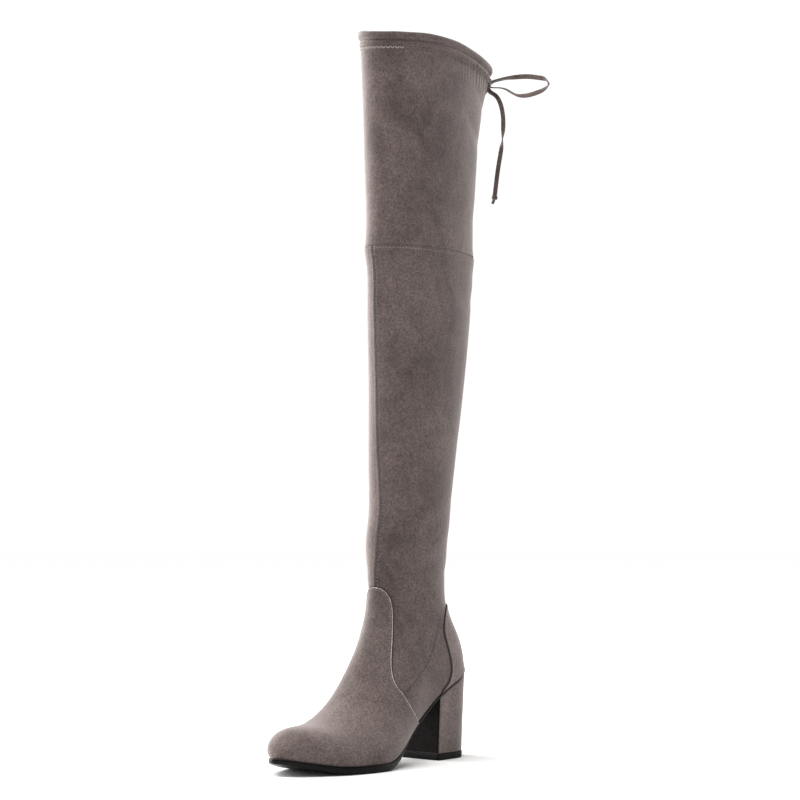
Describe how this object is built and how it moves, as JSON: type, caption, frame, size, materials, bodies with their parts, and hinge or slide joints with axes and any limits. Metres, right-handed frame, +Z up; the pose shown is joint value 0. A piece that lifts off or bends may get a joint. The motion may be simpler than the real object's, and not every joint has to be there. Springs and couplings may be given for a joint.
{
  "type": "thigh high boot",
  "caption": "Tall suede boot with an almond toe, block heel, thin sole, hollow stretch shaft and a lace tied in a bow behind the collar.",
  "frame": {"origin": "centre of the heel top piece, on the floor", "axes": "+Z up, -Y towards the toe, +X towards the wearer's left, the boot's outer side"},
  "size_m": [0.1452, 0.304, 0.6874],
  "materials": {
    "suede": "brushed suede nap",
    "suede_lace": "brushed suede nap",
    "sole_black": "satin edge",
    "heel_rubber": "matt",
    "insole_lining": "matt"
  },
  "bodies": {
    "root": {"upper": "suede", "vamp": "suede", "heel_counter": "suede", "outsole": "sole_black", "insole": "insole_lining", "heel_block": "suede", "top_piece": "heel_rubber", "tie_knot": "suede_lace", "tie_loop_outer": "suede_lace", "tie_loop_inner": "suede_lace", "tie_tail_outer": "suede_lace", "tie_tail_inner": "suede_lace", "tie_end_knot_outer": "suede_lace", "tie_end_knot_inner": "suede_lace"}
  },
  "joints": []
}
